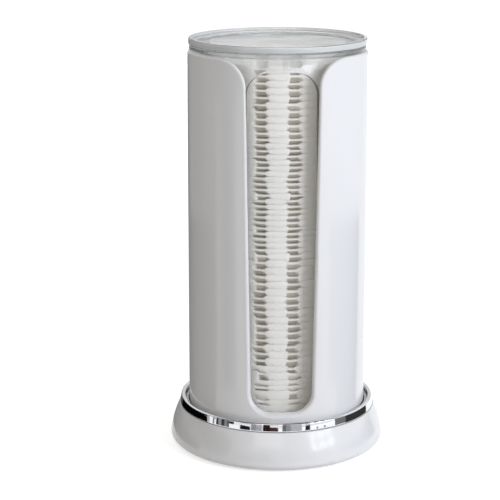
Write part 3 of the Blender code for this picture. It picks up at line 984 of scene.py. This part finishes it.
def placeFlag(name, rows, colour, glow=1.0):  # a strip between each two rows of points
    wide = len(rows[0])
    faces = [
        (row * wide + i, row * wide + i + 1, (row + 1) * wide + i + 1, (row + 1) * wide + i)
        for row in range(len(rows) - 1)
        for i in range(wide - 1)
    ]
    mesh = bpy.data.meshes.new(name)
    mesh.from_pydata([tuple(p) for row in rows for p in row], [], faces)
    mesh.materials.append(flagMaterial(colour, glow))
    flag = bpy.data.objects.new(name, mesh)
    scene.collection.objects.link(flag)
    flag.visible_camera = False
    flag.visible_diffuse = False
    flag.visible_shadow = False
    flag.visible_volume_scatter = False
    return flag


def mirrored(azimuth, radius, reach, height):
    # Where a level line of sight from the camera goes after an upright round face turned it
    camAzimuth = cameraLook["azimuth"]
    point = around(azimuth + camAzimuth, radius, 0) + around(2 * azimuth + camAzimuth, reach, 0)
    return (point.x, point.y, height * mm)


def makeFlags(look):
    for number, (start, end, colour, near, far, height) in enumerate(look["cards"]):
        turns = np.linspace(start, end, look["steps"])
        places = [(near, look["lying"]), (far, look["lying"])] + ([(far, height)] if height else [])
        rows = [[mirrored(turn, look["radius"], reach, rise) for turn in turns] for reach, rise in places]
        placeFlag(f"flag{number}", rows, colour)
    back = look["back"]
    middle = around(cameraLook["azimuth"] + 180, back["distance"], 0)
    along = around(cameraLook["azimuth"] + 90, back["half"], 0)
    rows = []
    for end in ("low", "high"):
        rise = Vector((0, 0, back[end] * mm))
        rows.append([middle + side + rise for side in (-along, along)])
    placeFlag("backFlag", rows, back["colour"]).visible_transmission = False
    for name in ("left", "right"):
        side = look[name]
        turns = np.linspace(*side["azimuths"], look["steps"])
        rows = [[around(turn, side["distance"], side[end]) for turn in turns] for end in ("low", "high")]
        placeFlag(name + "Flag", rows, side["colour"]).visible_glossy = side["inGloss"]
    ceiling = look["ceiling"]
    rows = [[Vector((x, y, ceiling["height"])) * mm for x in ceiling["across"]] for y in ceiling["along"]]
    placeFlag("ceilingFlag", rows, ceiling["colour"])


def makePanes(look):  # a bright window with bars, for the base to mirror
    middle = around(look["azimuth"], look["distance"], look["low"])
    along = around(look["azimuth"] + 90, 1, 0)
    size = [(side - look["bar"] * (n - 1)) / n for side, n in zip(look["size"], look["count"])]
    for column in range(look["count"][0]):
        for row in range(look["count"][1]):
            start = column * (size[0] + look["bar"]) - look["size"][0] / 2
            foot = row * (size[1] + look["bar"]) * mm
            rows = []
            for rise in (0, size[1]):
                up = Vector((0, 0, foot + rise * mm))
                rows.append([middle + along * (start + side) + up for side in (0, size[0])])
            placeFlag(f"pane{column}{row}", rows, look["colour"], look["glow"]).visible_transmission = False


makeFlags(flagLooks)
makePanes(flagLooks["panes"])

lamps = {
    "key": {
        "azimuth": 51, "distance": 1300, "height": 560, "size": (900, 640), "watts": 12.9,
        "colour": "eef4ff", "inGloss": False,
    },
    "front": {
        "azimuth": -12, "distance": 1500, "height": 700, "size": (900, 600), "watts": 2.8,
        "colour": "fff7ec", "inGloss": True,
    },
    "behind": {  # the other lamps don't reach the back
        "azimuth": -167, "distance": 1300, "height": 190, "size": (1100, 420), "watts": 6.5,
        "colour": "f6f8ff", "inGloss": False,
    },
    "sparkle": {
        "azimuth": -29, "distance": 900, "height": 175, "size": (30, 30), "watts": 0.03,
        "colour": "ffffff", "inGloss": True,
    },
}
aimHeight = 90  # of the point that the lamps face


def makeLamps(look):
    for name, lamp in look.items():
        data = bpy.data.lights.new(name, "AREA")
        data.shape = "RECTANGLE"
        data.size, data.size_y = (side * mm for side in lamp["size"])
        data.energy = lamp["watts"]
        data.color = toLinear(lamp["colour"])[:3]
        light = bpy.data.objects.new(name, data)
        light.location = around(lamp["azimuth"], lamp["distance"], lamp["height"])
        light.visible_transmission = False
        light.visible_glossy = lamp["inGloss"]
        scene.collection.objects.link(light)
        aimAt(light, Vector((0, 0, aimHeight * mm)))


makeLamps(lamps)

roomLook = {"fill": "fffdf9", "fillStrength": 0.42}


def makeRoom(look):
    world = bpy.data.worlds.new("white room")
    world.use_nodes = True
    tree = world.node_tree
    tree.nodes.clear()
    fill = addNode(
        tree, "ShaderNodeBackground",
        {"Color": toLinear(look["fill"]), "Strength": look["fillStrength"]},
    )
    white = addNode(tree, "ShaderNodeBackground", {"Color": (1, 1, 1, 1), "Strength": 1.0})
    mix = addNode(
        tree, "ShaderNodeMixShader", None, {0: seenWhite(tree), 1: fill.outputs[0], 2: white.outputs[0]},
    )
    addNode(tree, "ShaderNodeOutputWorld", None, {"Surface": mix.outputs[0]})
    scene.world = world


makeRoom(roomLook)
scene.view_settings.view_transform = "Standard"
print("floor, flags and light made")
